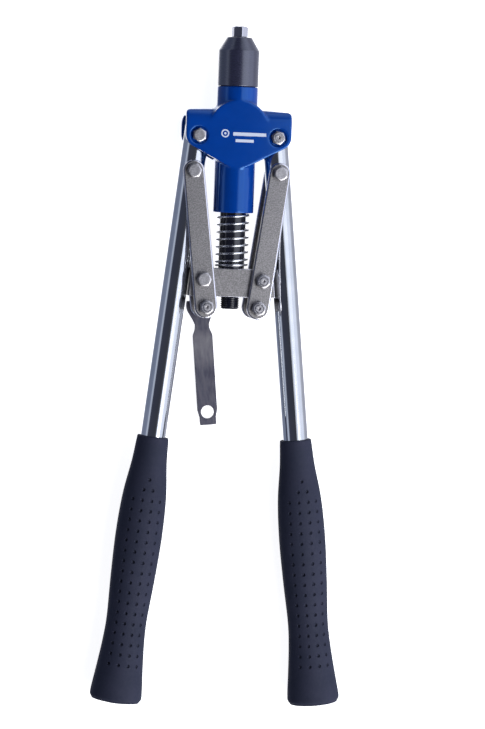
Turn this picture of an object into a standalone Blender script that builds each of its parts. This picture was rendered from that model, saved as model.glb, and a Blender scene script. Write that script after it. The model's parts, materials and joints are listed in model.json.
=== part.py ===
"""Long-arm hand riveter: a blue die-cast head with two tube handles and a spring-returned draw rod.

The tool lies on its back. +X is to its right, +Y runs along the draw rod towards the nose, and +Z is up.
The origin is on the surface that the tool lies on, under the middle of its box. Sizes are in millimetres.
"""

import math

import bmesh
import bpy
from mathutils import Vector

MM = 0.001
GAP = 0.3  # left between pieces that touch
PAST = 5.0  # how far a cutter runs past what it cuts

# Overall
NOSE_TIP_Y = 260.0
TAIL_Y = -260.0
GRIP_FLARE_R = 20.0
MID_Z = GRIP_FLARE_R  # height of the tool's middle plane

# Handle pivots in the head, and the links' pivots
EAR_X = 30.2
EAR_Y = 176.4
HANDLE_LEAN = math.radians(6.2)
CRANK = 27.0  # ear pivot to upper link pivot, along the handle
YOKE_PIVOT_X = 22.7
YOKE_PIVOT_Y = 67.3
LINK_TAIL = 21.1  # yoke pivot to lower link bolt

# Head casting
BARREL_R = 15.5
PLATE_HALF = 15.7
BARREL_TOP_Y = 214.2
BARREL_FOOT_Y = 118.4
SPIGOT_R = 12.5
SPIGOT_TOP_Y = 229.0
BORE_R = 10.4
WING_X = 40.5
WING_TOP_Y = 197.6
WING_END_Y = 195.9
WING_ROUND = 10.0  # radius of the wings' rounded top edges
WING_CORNER = 3.0
BACK_CORNER_R = 13.0  # the same corners behind the front plate
LOBE_X = 30.7  # middle of each ear's round lower corner
LOBE_Y = 176.9
LOBE_R = WING_X - LOBE_X
SKIRT_SLOPE = math.radians(27.6)
SKIRT_TIP_Y = 152.3
ARCH_TOP_Y = 204.0
ARCH_R = 23.7
CLEVIS_R = 14.4
CLEVIS_HALF = 9.9
CLEVIS_TOP_Y = EAR_Y + CLEVIS_R
SPOT_R = 6.6
SPOT_Z = 13.4  # from the middle plane to the floor of each spot face

# Nose
SLEEVE_R = 15.5
SLEEVE_FOOT_Y = 214.5
SLEEVE_SHOULDER_Y = 241.6
SLEEVE_TOP_Y = 251.7
SLEEVE_TOP_R = 9.4
NOSE_FLATS = 11.0
NOSE_THREAD_R = 4.6
NOSE_STEM_Y = 243.5
MANDREL_R = 2.1

# Handles
TUBE_R = 9.6
TUBE_WALL = 1.5
TUBE_TOP = 10.0  # length above the ear pivot
OPEN_PIVOT_R = 6.3  # oversize hole for the upper link bolt
GRIP_START = 231.8  # ear pivot to the grip's mouth
BUTT_R = 62.0  # radius of the grip's domed butt, whose lowest point is the tool's tail
GRIP_END = BUTT_R + (EAR_Y - BUTT_R - TAIL_Y) / math.cos(HANDLE_LEAN)
GRIP_BORE_R = TUBE_R + GAP
GRIP_WALL_END = 14.0

# Draw rod, yoke and links
ROD_R = 10.0
ROD_SPIGOT_R = 7.4
ROD_SHOULDER_Y = 192.0
ROD_TOP_Y = 203.0
ROD_BORE_R = 3.5
SPRING_POCKET_R = 5.6
SPRING_POCKET_Y = 184.0
THREAD_R = 7.2
THREAD_END_Y = 45.0
YOKE_TOP_Y = 75.9
YOKE_FOOT_Y = 54.3
YOKE_TOP_X = 31.3
YOKE_FOOT_X = 33.4
YOKE_HALF = 9.6
LINK_INNER = 9.9
LINK_THICK = 3.9
LINK_OUTER = LINK_INNER + LINK_THICK
LINK_TOP_R = 8.1
LINK_FOOT_R = 8.75
LINK_SEAT = LINK_OUTER + GAP
SPACER_R = 5.0

# Fasteners, all M6
BOLT_R = 3.0
HOLE_R = BOLT_R + GAP
HEX_FLATS = 10.0
HEAD_H = 4.0
NUT_H = 5.0
BOLT_END = 0.7  # what stands out of a nut
FLATS_ACROSS = math.radians(30)  # the spin that turns a hexagon's flats to face along X

# Return spring
SPRING_R = 11.9
SPRING_WIRE_R = 0.85
SPRING_TOP_Y = 117.4
SPRING_PITCH = 5.6
SPRING_OPEN_TURNS = 6.65
SPRING_CLOSED_PITCH = 2.3
SPRING_TURNS = 7.95
SPRING_PHASE = 0.3  # turns past the front at which the upper end lies

# Jaws
CASE_R = ROD_R
CASE_FOOT_Y = ROD_SHOULDER_Y + GAP
CASE_TOP_Y = 226.0
CONE_FOOT_Y = 208.0
CONE_FOOT_R = 7.7
CONE_TOP_Y = 224.0
CONE_TOP_R = 3.9
JAW_FOOT_Y = 211.0
JAW_TOP_Y = 223.0
JAW_BORE_R = 1.3
JAW_SPAN = math.radians(106)
JAW_COUNT = 3
PUSHER_FOOT_Y = 205.8
PUSHER_R = 6.9
JAW_SPRING_R = 4.4
JAW_SPRING_WIRE_R = 0.5
JAW_SPRING_TURNS = 5.5

# Spanner parked on the lower left bolt
SPANNER_THICK = 3.0
SPANNER_HEAD_R = 11.2
SPANNER_SLOT = NOSE_FLATS + 0.1
SPANNER_TIP = 4.0
SPANNER_NECK = 10.8
SPANNER_BLADE = 15.3
SPANNER_TONGUE = 12.6
SPANNER_HOLE_R = 5.05
SPANNER_HOLE_Y = -82.4
SPANNER_END_Y = -92.4
SPANNER_LEAN = math.radians(-1.4)  # from its link, as it is parked

FASTENER_STEPS = 12
SMALL_STEPS = 24
ROUND_STEPS = 32
FINE_STEPS = 40


def upper_pivot():
    """The right-hand upper link pivot, as (x, y)."""
    return (EAR_X + CRANK * math.sin(HANDLE_LEAN), EAR_Y - CRANK * math.cos(HANDLE_LEAN))


def link_lean():
    x, y = upper_pivot()
    return math.atan2(x - YOKE_PIVOT_X, y - YOKE_PIVOT_Y)


def link_length():
    x, y = upper_pivot()
    return math.hypot(x - YOKE_PIVOT_X, y - YOKE_PIVOT_Y)


# ---------------------------------------------------------------- shapes

def arc(x, y, radius, start, end, steps):
    """Points on an arc, both ends included. Angles are in degrees from +X."""
    points = []
    for i in range(steps + 1):
        angle = math.radians(start + (end - start) * i / steps)
        points.append((x + radius * math.cos(angle), y + radius * math.sin(angle)))
    return points


def ring_radius(shape, size, angle):
    """Distance to a ring's edge. Size is a round ring's radius, or a hexagon's width across flats."""
    if shape == "round":
        return size
    sixth = math.pi / 3
    off_flat = (angle % sixth) - sixth / 2
    return size / 2 / math.cos(off_flat)


def stack(levels, steps=ROUND_STEPS, loop=False):
    """A solid through rings (shape, size, height) around Z. A loop joins its last ring to its first.

    The rings run up the outside. Without a loop the two end rings are capped.
    """
    bm = bmesh.new()
    rings = []
    for shape, size, height in levels:
        ring = []
        if size == 0:
            ring = [bm.verts.new((0, 0, height * MM))] * steps
        else:
            for i in range(steps):
                angle = 2 * math.pi * i / steps
                radius = ring_radius(shape, size, angle)
                ring.append(bm.verts.new((radius * math.cos(angle) * MM, radius * math.sin(angle) * MM, height * MM)))
        rings.append(ring)
    pairs = list(zip(rings, rings[1:]))
    if loop:
        pairs.append((rings[-1], rings[0]))
    for low, high in pairs:
        for i in range(steps):
            j = (i + 1) % steps
            corners = list(dict.fromkeys((low[i], low[j], high[j], high[i])))
            if len(corners) > 2:
                bm.faces.new(corners)
    if not loop:
        if len(set(rings[0])) > 1:
            bm.faces.new(reversed(rings[0]))
        if len(set(rings[-1])) > 1:
            bm.faces.new(rings[-1])
    return bm


def prism(outline, low, high):
    """An outline in XY, listed anticlockwise, extruded from low to high along Z."""
    bm = bmesh.new()
    floor = [bm.verts.new((x * MM, y * MM, low * MM)) for x, y in outline]
    roof = [bm.verts.new((x * MM, y * MM, high * MM)) for x, y in outline]
    count = len(outline)
    for i in range(count):
        j = (i + 1) % count
        bm.faces.new((floor[i], floor[j], roof[j], roof[i]))
    bm.faces.new(reversed(floor))
    bm.faces.new(roof)
    return bm


def coil(radius, wire, height_at, turns, steps, sides, phase):
    """A right-handed coil around Z of round wire. height_at gives the wire's height after some turns."""
    bm = bmesh.new()
    count = round(turns * steps)
    rings = []
    for i in range(count + 1):
        turn = turns * i / count
        angle = -2 * math.pi * (turn - phase)
        out = Vector((math.cos(angle), math.sin(angle), 0))
        centre = out * radius + Vector((0, 0, height_at(turn)))
        ring = []
        for k in range(sides):
            around = 2 * math.pi * k / sides
            point = centre + (out * math.cos(around) + Vector((0, 0, math.sin(around)))) * wire
            ring.append(bm.verts.new(point * MM))
        rings.append(ring)
    for first, second in zip(rings, rings[1:]):
        for k in range(sides):
            m = (k + 1) % sides
            bm.faces.new((first[k], second[k], second[m], first[m]))
    bm.faces.new(rings[0])
    bm.faces.new(reversed(rings[-1]))
    return bm


# ---------------------------------------------------------------- objects

def material(name, colour, roughness, metallic):
    made = bpy.data.materials.new(name)
    made.use_nodes = True
    shader = made.node_tree.nodes["Principled BSDF"]
    shader.inputs["Base Color"].default_value = (*colour, 1.0)
    shader.inputs["Roughness"].default_value = roughness
    shader.inputs["Metallic"].default_value = metallic
    return made


def place(name, bm, finish=None, parent=None, at=(0, 0, 0), turn=(0, 0, 0)):
    """One object from a bmesh, at a place in millimetres and a turn in radians, both from its parent."""
    bmesh.ops.recalc_face_normals(bm, faces=bm.faces)
    mesh = bpy.data.meshes.new(name)
    bm.to_mesh(mesh)
    bm.free()
    mesh.shade_smooth()
    mesh.set_sharp_from_angle(angle=math.radians(30))
    made = bpy.data.objects.new(name, mesh)
    bpy.context.scene.collection.objects.link(made)
    if finish:
        mesh.materials.append(finish)
    made.parent = parent
    made.location = Vector(at) * MM
    made.rotation_euler = turn
    return made


def boolean(target, tool, operation):
    """Cuts, joins or intersects the target with a hidden tool object, live."""
    tool.hide_render = True
    tool.display_type = "WIRE"
    modifier = target.modifiers.new(tool.name, "BOOLEAN")
    modifier.operation = operation
    modifier.solver = "EXACT"
    modifier.object = tool


def pivot(name, x, y, turn=0.0, parent=None):
    """An empty on a joint's axis, at the height of the middle plane."""
    made = bpy.data.objects.new(name, None)
    bpy.context.scene.collection.objects.link(made)
    made.empty_display_size = 10 * MM
    made.location = Vector((x, y, 0 if parent else MID_Z)) * MM
    made.rotation_euler = (0, 0, turn)
    made.parent = parent
    return made


ALONG_Y = (-math.pi / 2, 0, 0)  # turns a piece that was built up Z so that it runs towards the nose


def drill(target, x, y, radius, low, high, name):
    """Drills a round hole along Z, in the target's own parent frame."""
    steps = FASTENER_STEPS if radius == HOLE_R else SMALL_STEPS
    tool = place(name, stack([("round", radius, low), ("round", radius, high)], steps),
                 parent=target.parent, at=(x, y, 0))
    boolean(target, tool, "DIFFERENCE")


# ---------------------------------------------------------------- fasteners

def bolt_solid(length):
    """A hex bolt, its head standing on Z = 0 and its shank running down from there."""
    return stack([("round", BOLT_R, -length), ("round", BOLT_R, 0), ("hex", HEX_FLATS, 0),
                  ("hex", HEX_FLATS, HEAD_H)], FASTENER_STEPS)


def nut_solid():
    """A hex nut from Z = 0 up."""
    return stack([("hex", HEX_FLATS, 0), ("hex", HEX_FLATS, NUT_H), ("round", HOLE_R, NUT_H),
                  ("round", HOLE_R, 0)], FASTENER_STEPS, loop=True)


def fasten(label, side, seat, head_in_front, finish, parent, x=0.0, y=0.0, spin=0.0):
    """A bolt through the tool at (x, y) from its parent, and the nut on its far end. Seat is the half depth.

    At a spin of 0 the hexagons' corners point along X.
    """
    length = 2 * seat + NUT_H + BOLT_END
    front = (0, 0, spin)
    back = (math.pi, 0, spin)
    bolt_turn, nut_turn = (front, back) if head_in_front else (back, front)
    up = seat if head_in_front else -seat
    place(f"{label.replace('#', 'bolt')}_{side}", bolt_solid(length), finish, parent, (x, y, up), bolt_turn)
    place(f"{label.replace('#', 'nut')}_{side}", nut_solid(), finish, parent, (x, y, -up), nut_turn)


# ---------------------------------------------------------------- head

def casting_outline():
    """The wings and the V-shaped skirt below them, seen from the front."""
    corner_x = WING_X - WING_CORNER
    slope = math.degrees(SKIRT_SLOPE)
    foot_x = LOBE_X + LOBE_R * math.sin(SKIRT_SLOPE)
    foot_y = LOBE_Y - LOBE_R * math.cos(SKIRT_SLOPE)
    line_at_middle = foot_y - foot_x * math.tan(SKIRT_SLOPE)
    tip_rise = (SKIRT_TIP_Y - line_at_middle) * math.cos(SKIRT_SLOPE)
    tip_r = tip_rise / (1 - math.cos(SKIRT_SLOPE))
    right = arc(0, SKIRT_TIP_Y + tip_r, tip_r, -90, -90 + slope, 6)
    right += arc(LOBE_X, LOBE_Y, LOBE_R, -90 + slope, 0, 8)
    right += arc(corner_x, WING_END_Y - WING_CORNER, WING_CORNER, 0, 85, 4)
    left = [(-x, y) for x, y in reversed(right)]
    return right + [(0, WING_TOP_Y)] + left[:-1]


def wing_profile():
    """The wings seen from the end, as (depth, height along Y)."""
    flat = PLATE_HALF - WING_ROUND
    springing = WING_TOP_Y - WING_ROUND
    return ([(-PLATE_HALF, SKIRT_TIP_Y - PAST), (PLATE_HALF, SKIRT_TIP_Y - PAST)]
            + arc(flat, springing, WING_ROUND, 0, 90, 7)
            + arc(-flat, springing, WING_ROUND, 90, 180, 7))


def clevis_outline(side):
    """The slot that a handle swings in, open outwards and below."""
    inner = EAR_X - CLEVIS_R
    far = WING_X + PAST
    low = SKIRT_TIP_Y - PAST
    right = ([(inner, low), (far, low), (far, CLEVIS_TOP_Y)] + arc(EAR_X, EAR_Y, CLEVIS_R, 90, 180, 8))
    if side > 0:
        return right
    return [(-x, y) for x, y in reversed(right)]


def corner_outline(side):
    """What is cut from a wing's upper corner behind its front plate, which leaves a large round."""
    x, y = WING_X - BACK_CORNER_R, WING_TOP_Y + GAP - BACK_CORNER_R
    high = WING_TOP_Y + PAST
    far = WING_X + PAST
    right = arc(x, y, BACK_CORNER_R, 0, 90, 8) + [(x, high), (far, high), (far, y)]
    return [(side * px, py) for px, py in right]


def make_casting(finish, head):
    casting = place("body_casting", prism(casting_outline(), -PLATE_HALF - PAST, PLATE_HALF + PAST), finish, head)

    wings = place("wing_guide", prism(wing_profile(), -WING_X - PAST, WING_X + PAST), parent=head,
                  turn=(0, -math.pi / 2, 0))
    boolean(casting, wings, "INTERSECT")

    arch_low = EAR_Y
    spread = math.degrees(math.acos((arch_low - ARCH_TOP_Y + ARCH_R) / ARCH_R))
    arch_points = arc(0, ARCH_TOP_Y - ARCH_R, ARCH_R, 90 - spread, 90 + spread, 16)
    arch = place("arch_guide", prism(arch_points, -PLATE_HALF, PLATE_HALF), parent=head)
    boolean(casting, arch, "UNION")

    barrel = place("barrel_guide",
                   stack([("round", BARREL_R, BARREL_FOOT_Y), ("round", BARREL_R, BARREL_TOP_Y),
                          ("round", SPIGOT_R, BARREL_TOP_Y), ("round", SPIGOT_R, SPIGOT_TOP_Y)], FINE_STEPS),
                   parent=head, turn=ALONG_Y)
    boolean(casting, barrel, "UNION")

    bore = place("bore_cutter",
                 stack([("round", BORE_R, BARREL_FOOT_Y - PAST), ("round", BORE_R, SPIGOT_TOP_Y + PAST)]),
                 parent=head, turn=ALONG_Y)
    boolean(casting, bore, "DIFFERENCE")

    back = PLATE_HALF + PAST
    for name, side in (("left", -1), ("right", 1)):
        clevis = place(f"clevis_cutter_{name}", prism(clevis_outline(side), -CLEVIS_HALF, CLEVIS_HALF), parent=head)
        boolean(casting, clevis, "DIFFERENCE")
        corner = place(f"corner_cutter_{name}", prism(corner_outline(side), -back, CLEVIS_HALF),
                       parent=head)
        boolean(casting, corner, "DIFFERENCE")
        x = side * EAR_X
        drill(casting, x, EAR_Y, HOLE_R, -back, back, f"ear_hole_{name}")
        drill(casting, x, EAR_Y, SPOT_R, SPOT_Z, back, f"front_spot_{name}")
        drill(casting, x, EAR_Y, SPOT_R, -back, -SPOT_Z, f"back_spot_{name}")


def make_nose(steel, black, head):
    inner = SPIGOT_R + GAP
    waist = BORE_R + GAP
    ceiling = NOSE_STEM_Y + 1.5
    throat = NOSE_THREAD_R + GAP
    place("nose_sleeve",
          stack([("round", SLEEVE_R, SLEEVE_FOOT_Y), ("round", SLEEVE_R, SLEEVE_SHOULDER_Y),
                 ("round", SLEEVE_TOP_R, SLEEVE_TOP_Y), ("round", throat, SLEEVE_TOP_Y),
                 ("round", throat, ceiling), ("round", waist, ceiling - 3),
                 ("round", waist, SPIGOT_TOP_Y + 2), ("round", inner, SPIGOT_TOP_Y + 2),
                 ("round", inner, SLEEVE_FOOT_Y)], FINE_STEPS, loop=True),
          black, head, turn=ALONG_Y)

    place("nosepiece",
          stack([("round", NOSE_THREAD_R, NOSE_STEM_Y), ("round", NOSE_THREAD_R, SLEEVE_TOP_Y + GAP),
                 ("hex", NOSE_FLATS, SLEEVE_TOP_Y + GAP), ("hex", NOSE_FLATS, NOSE_TIP_Y - 0.9),
                 ("round", NOSE_FLATS / 2 - 0.3, NOSE_TIP_Y), ("round", MANDREL_R, NOSE_TIP_Y),
                 ("round", MANDREL_R, NOSE_STEM_Y)], SMALL_STEPS, loop=True),
          steel, head, turn=ALONG_Y)


def return_spring_height(turn):
    opened = min(turn, SPRING_OPEN_TURNS)
    closed = max(0.0, turn - SPRING_OPEN_TURNS)
    return SPRING_TOP_Y - opened * SPRING_PITCH - closed * SPRING_CLOSED_PITCH


def make_return_spring(finish, head):
    place("return_spring",
          coil(SPRING_R, SPRING_WIRE_R, return_spring_height, SPRING_TURNS, 18, 6, SPRING_PHASE - 0.25),
          finish, head, turn=ALONG_Y)


def make_head(finishes, head):
    make_casting(finishes["blue"], head)
    make_nose(finishes["steel"], finishes["black"], head)
    make_return_spring(finishes["zinc"], head)
    seat = SPOT_Z + GAP
    fasten("pivot_#", "left", seat, True, finishes["nickel"], head, -EAR_X, EAR_Y)
    fasten("pivot_#", "right", seat, False, finishes["nickel"], head, EAR_X, EAR_Y)


# ---------------------------------------------------------------- handles

def grip_profile():
    """(radius, distance from the mouth) down the outside of a grip, to its butt."""
    length = GRIP_END - GRIP_START
    side = [(12.1, 0), (13.4, 20), (16.7, 46), (17.8, 76), (17.0, 109), (15.5, 141), (16.2, 160),
            (17.9, 180), (19.5, 194), (GRIP_FLARE_R, 201), (18.8, length - 3.4)]
    dome = [(r, length - BUTT_R + math.sqrt(BUTT_R ** 2 - r ** 2)) for r in (16.5, 8.0, 0)]
    return side + dome


def make_handle(name, finishes, handle):
    """Built along -Y from the ear pivot; the empty that it hangs on is leant outwards."""
    down_y = (math.pi / 2, 0, 0)
    end = GRIP_END - GRIP_WALL_END
    inner = TUBE_R - TUBE_WALL
    tube = place(f"handle_tube_{name}",
                 stack([("round", TUBE_R, -TUBE_TOP), ("round", TUBE_R, end), ("round", inner, end),
                        ("round", inner, -TUBE_TOP)], loop=True),
                 finishes["chrome"], handle, turn=down_y)
    through = TUBE_R + PAST
    drill(tube, 0, 0, HOLE_R, -through, through, f"tube_pivot_hole_{name}")
    drill(tube, 0, -CRANK, OPEN_PIVOT_R, -through, through, f"tube_link_hole_{name}")

    outside = [("round", r, GRIP_START + t) for r, t in grip_profile()]
    bore = [("round", 0, end + GAP), ("round", GRIP_BORE_R, end + GAP), ("round", GRIP_BORE_R, GRIP_START)]
    place(f"handle_grip_{name}", stack(bore + outside), finishes["rubber"], handle, turn=down_y)


# ---------------------------------------------------------------- draw rod

def make_yoke(finish, draw):
    outline = [(-YOKE_FOOT_X, YOKE_FOOT_Y), (YOKE_FOOT_X, YOKE_FOOT_Y), (YOKE_TOP_X, YOKE_TOP_Y),
               (-YOKE_TOP_X, YOKE_TOP_Y)]
    yoke = place("yoke", prism(outline, -YOKE_HALF, YOKE_HALF), finish, draw)
    bore = place("yoke_bore_cutter",
                 stack([("round", THREAD_R + GAP, YOKE_FOOT_Y - PAST), ("round", THREAD_R + GAP, YOKE_TOP_Y + PAST)],
                       SMALL_STEPS),
                 parent=draw, turn=ALONG_Y)
    boolean(yoke, bore, "DIFFERENCE")
    through = YOKE_HALF + PAST
    for name, side in (("left", -1), ("right", 1)):
        drill(yoke, side * YOKE_PIVOT_X, YOKE_PIVOT_Y, HOLE_R, -through, through, f"yoke_hole_{name}")


def make_rod(finish, draw):
    step = YOKE_TOP_Y + GAP
    place("draw_rod",
          stack([("round", THREAD_R, THREAD_END_Y), ("round", THREAD_R, step), ("round", ROD_R, step),
                 ("round", ROD_R, ROD_SHOULDER_Y), ("round", ROD_SPIGOT_R, ROD_SHOULDER_Y),
                 ("round", ROD_SPIGOT_R, ROD_TOP_Y), ("round", SPRING_POCKET_R, ROD_TOP_Y),
                 ("round", SPRING_POCKET_R, SPRING_POCKET_Y), ("round", ROD_BORE_R, SPRING_POCKET_Y),
                 ("round", ROD_BORE_R, THREAD_END_Y)], loop=True),
          finish, draw, turn=ALONG_Y)


def make_jaw_case(finish, draw):
    socket = ROD_SPIGOT_R + GAP
    place("jaw_case",
          stack([("round", CASE_R, CASE_FOOT_Y), ("round", CASE_R, CASE_TOP_Y - 1.5),
                 ("round", CASE_R - 1.5, CASE_TOP_Y), ("round", CONE_TOP_R, CASE_TOP_Y),
                 ("round", CONE_TOP_R, CONE_TOP_Y), ("round", CONE_FOOT_R, CONE_FOOT_Y),
                 ("round", socket, CASE_FOOT_Y)], loop=True),
          finish, draw, turn=ALONG_Y)


def make_jaw_spring(finish, draw):
    low = SPRING_POCKET_Y + JAW_SPRING_WIRE_R + GAP
    high = PUSHER_FOOT_Y - JAW_SPRING_WIRE_R - GAP
    place("jaw_spring",
          coil(JAW_SPRING_R, JAW_SPRING_WIRE_R, lambda turn: high - (high - low) * turn / JAW_SPRING_TURNS,
               JAW_SPRING_TURNS, 12, 5, 0.0),
          finish, draw, turn=ALONG_Y)


def make_draw(finishes, draw):
    make_yoke(finishes["nickel"], draw)
    make_rod(finishes["black_rod"], draw)
    make_jaw_case(finishes["steel"], draw)
    make_jaw_spring(finishes["zinc"], draw)
    fasten("yoke_#", "left", LINK_SEAT, True, finishes["nickel"], draw, -YOKE_PIVOT_X, YOKE_PIVOT_Y)
    fasten("yoke_#", "right", LINK_SEAT, False, finishes["nickel"], draw, YOKE_PIVOT_X, YOKE_PIVOT_Y)


def cone_radius(y):
    part = (y - CONE_FOOT_Y) / (CONE_TOP_Y - CONE_FOOT_Y)
    return CONE_FOOT_R + (CONE_TOP_R - CONE_FOOT_R) * part


def jaw_solid(middle):
    """A jaw: part of a cone around Z with a gripping bore, centred on one direction."""
    bm = bmesh.new()
    steps = 8
    foot_r = cone_radius(JAW_FOOT_Y) - GAP
    top_r = cone_radius(JAW_TOP_Y) - GAP
    slices = []
    for i in range(steps + 1):
        angle = middle + JAW_SPAN * (i / steps - 0.5)
        corners = ((JAW_BORE_R, JAW_FOOT_Y), (foot_r, JAW_FOOT_Y), (top_r, JAW_TOP_Y), (JAW_BORE_R, JAW_TOP_Y))
        slices.append([bm.verts.new((r * math.cos(angle) * MM, r * math.sin(angle) * MM, y * MM))
                       for r, y in corners])
    for first, second in zip(slices, slices[1:]):
        for k in range(4):
            m = (k + 1) % 4
            bm.faces.new((first[k], second[k], second[m], first[m]))
    bm.faces.new(slices[0])
    bm.faces.new(reversed(slices[-1]))
    return bm


def make_jaws(finishes, jaws):
    for i in range(JAW_COUNT):
        place(f"jaw_{i + 1}", jaw_solid(2 * math.pi * i / JAW_COUNT), finishes["steel"], jaws, turn=ALONG_Y)
    top = JAW_FOOT_Y - GAP
    place("jaw_pusher",
          stack([("round", PUSHER_R, PUSHER_FOOT_Y), ("round", PUSHER_R, top - 3), ("round", PUSHER_R - 3.4, top),
                 ("round", MANDREL_R, top), ("round", MANDREL_R, PUSHER_FOOT_Y)], SMALL_STEPS, loop=True),
          finishes["steel"], jaws, turn=ALONG_Y)


# ---------------------------------------------------------------- links

def link_outline():
    """A flat bar with round ends, narrower at its upper pivot. The yoke pivot is at the origin."""
    return arc(0, link_length(), LINK_TOP_R, 0, 180, 12) + arc(0, -LINK_TAIL, LINK_FOOT_R, 180, 360, 12)


def make_link(name, finishes, link, lower):
    """Built along +Y from the yoke pivot; the empty that it hangs on is leant outwards."""
    nickel = finishes["nickel"]
    for label, low in (("front", LINK_INNER), ("back", -LINK_OUTER)):
        plate = place(f"link_{label}_{name}", prism(link_outline(), low, low + LINK_THICK), nickel, link)
        for i, y in enumerate((link_length(), 0, -LINK_TAIL)):
            drill(plate, 0, y, HOLE_R, low - PAST, low + LINK_THICK + PAST, f"{label}_hole_{i}_{name}")
    half = LINK_INNER - GAP
    place(f"link_spacer_{name}",
          stack([("round", SPACER_R, -half), ("round", SPACER_R, half), ("round", HOLE_R, half),
                 ("round", HOLE_R, -half)], FASTENER_STEPS * 2, loop=True),
          nickel, link, (0, -LINK_TAIL, 0))
    fasten("link_upper_#", name, LINK_SEAT, True, nickel, link, 0, link_length())
    fasten("link_lower_#", name, LINK_SEAT, False, nickel, *lower, spin=FLATS_ACROSS)


# ---------------------------------------------------------------- spanner

def spanner_outline():
    """An open-ended spanner seen from the front, its jaws towards +Y and the bolt that it grips at the origin."""
    slot = SPANNER_SLOT / 2
    tip_angle = math.degrees(math.asin(SPANNER_TIP / SPANNER_HEAD_R))
    neck = SPANNER_NECK / 2
    blade = SPANNER_BLADE / 2
    tongue = SPANNER_TONGUE / 2
    right = [(tongue, SPANNER_END_Y), (tongue, SPANNER_END_Y + 6.5), (blade, SPANNER_HOLE_Y + 1)]
    right += [(blade, -24.4), (blade - 0.7, -22.0), (neck + 0.2, -18.6), (neck, -16.2), (neck + 0.2, -14.0)]
    right += [(neck + 1.6, -10.6), (neck + 4.0, -7.0)]
    right += arc(0, 0, SPANNER_HEAD_R, -32, tip_angle, 7)
    right += [(slot, SPANNER_TIP), (slot, -3.6)]
    left = [(-x, y) for x, y in reversed(right)]
    return right + [(0, -6.7)] + left


def make_spanner(finish, spanner):
    high = -LINK_SEAT
    low = high - SPANNER_THICK
    blade = place("spanner", prism(spanner_outline(), low, high), finish, spanner)
    drill(blade, 0, SPANNER_HOLE_Y, SPANNER_HOLE_R, low - PAST, high + PAST, "spanner_hole")


# ---------------------------------------------------------------- the tool

def make_finishes():
    """Each finish's colour, roughness and metallic value."""
    looks = {
        "blue": ((0.003, 0.07, 0.36), 0.3, 0.0),
        "black": ((0.02, 0.02, 0.03), 0.4, 0.0),
        "black_rod": ((0.01, 0.01, 0.012), 0.2, 0.6),
        "rubber": ((0.022, 0.024, 0.042), 0.7, 0.0),
        "chrome": ((0.75, 0.77, 0.8), 0.08, 1.0),
        "nickel": ((0.24, 0.23, 0.25), 0.5, 1.0),
        "zinc": ((0.65, 0.66, 0.68), 0.25, 1.0),
        "steel": ((0.45, 0.45, 0.47), 0.3, 1.0),
        "gunmetal": ((0.08, 0.075, 0.1), 0.45, 0.9),
    }
    return {name: material(name, *look) for name, look in looks.items()}


def main():
    for old in list(bpy.data.objects):
        bpy.data.objects.remove(old, do_unlink=True)
    finishes = make_finishes()
    head = pivot("head_frame", 0, 0)
    make_head(finishes, head)
    draw = pivot("draw_frame", 0, 0)
    make_draw(finishes, draw)
    make_jaws(finishes, draw)
    lean = link_lean()
    lower_y = YOKE_PIVOT_Y - LINK_TAIL * math.cos(lean)
    lower_x = YOKE_PIVOT_X - LINK_TAIL * math.sin(lean)
    spanner = pivot("spanner_axis", -lower_x, lower_y, lean + SPANNER_LEAN)
    make_spanner(finishes["gunmetal"], spanner)
    for name, side in (("left", -1), ("right", 1)):
        handle = pivot(f"handle_axis_{name}", side * EAR_X, EAR_Y, side * HANDLE_LEAN)
        make_handle(name, finishes, handle)
        link = pivot(f"link_axis_{name}", side * YOKE_PIVOT_X, YOKE_PIVOT_Y, -side * lean)
        lower = (spanner, 0, 0) if side < 0 else (link, 0, -LINK_TAIL)
        make_link(name, finishes, link, lower)


main()
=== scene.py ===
"""Looks of the long-arm hand riveter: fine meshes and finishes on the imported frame.

Sizes are in millimetres. +Y runs towards the nose and +Z is the tool's front, which faces the camera.
"""

import json
import math

import bmesh
import bpy
from mathutils import Matrix, Vector


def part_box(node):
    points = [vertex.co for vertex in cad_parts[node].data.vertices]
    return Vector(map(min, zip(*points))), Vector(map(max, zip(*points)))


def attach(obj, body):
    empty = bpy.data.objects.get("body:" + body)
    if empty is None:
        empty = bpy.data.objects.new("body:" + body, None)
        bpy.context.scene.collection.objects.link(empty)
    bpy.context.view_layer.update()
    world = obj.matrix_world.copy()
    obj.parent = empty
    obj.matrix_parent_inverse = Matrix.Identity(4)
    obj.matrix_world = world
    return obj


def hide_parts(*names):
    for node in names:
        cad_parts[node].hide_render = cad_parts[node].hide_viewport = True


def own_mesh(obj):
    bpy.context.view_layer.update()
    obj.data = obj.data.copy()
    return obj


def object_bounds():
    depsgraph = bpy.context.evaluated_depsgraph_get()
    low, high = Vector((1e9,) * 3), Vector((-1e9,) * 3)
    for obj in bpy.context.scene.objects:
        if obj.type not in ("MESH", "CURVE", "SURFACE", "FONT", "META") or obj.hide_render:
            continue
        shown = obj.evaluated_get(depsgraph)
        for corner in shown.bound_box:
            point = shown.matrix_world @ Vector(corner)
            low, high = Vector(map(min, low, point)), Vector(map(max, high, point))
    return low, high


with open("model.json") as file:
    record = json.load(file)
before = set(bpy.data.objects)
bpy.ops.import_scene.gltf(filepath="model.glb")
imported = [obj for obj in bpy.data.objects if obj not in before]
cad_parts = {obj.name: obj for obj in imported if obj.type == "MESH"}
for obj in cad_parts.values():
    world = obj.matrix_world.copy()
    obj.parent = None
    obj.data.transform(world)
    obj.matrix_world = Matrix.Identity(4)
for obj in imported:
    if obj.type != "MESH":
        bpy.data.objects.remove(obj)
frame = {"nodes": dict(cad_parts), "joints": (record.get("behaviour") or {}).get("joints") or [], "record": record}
CAD_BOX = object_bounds()
MM = 0.001

JOINTS = {joint["name"]: joint for joint in frame["joints"]}
BODY_OF = {node: body for body, nodes in frame["record"]["behaviour"]["bodies"].items() for node in nodes}


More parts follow.
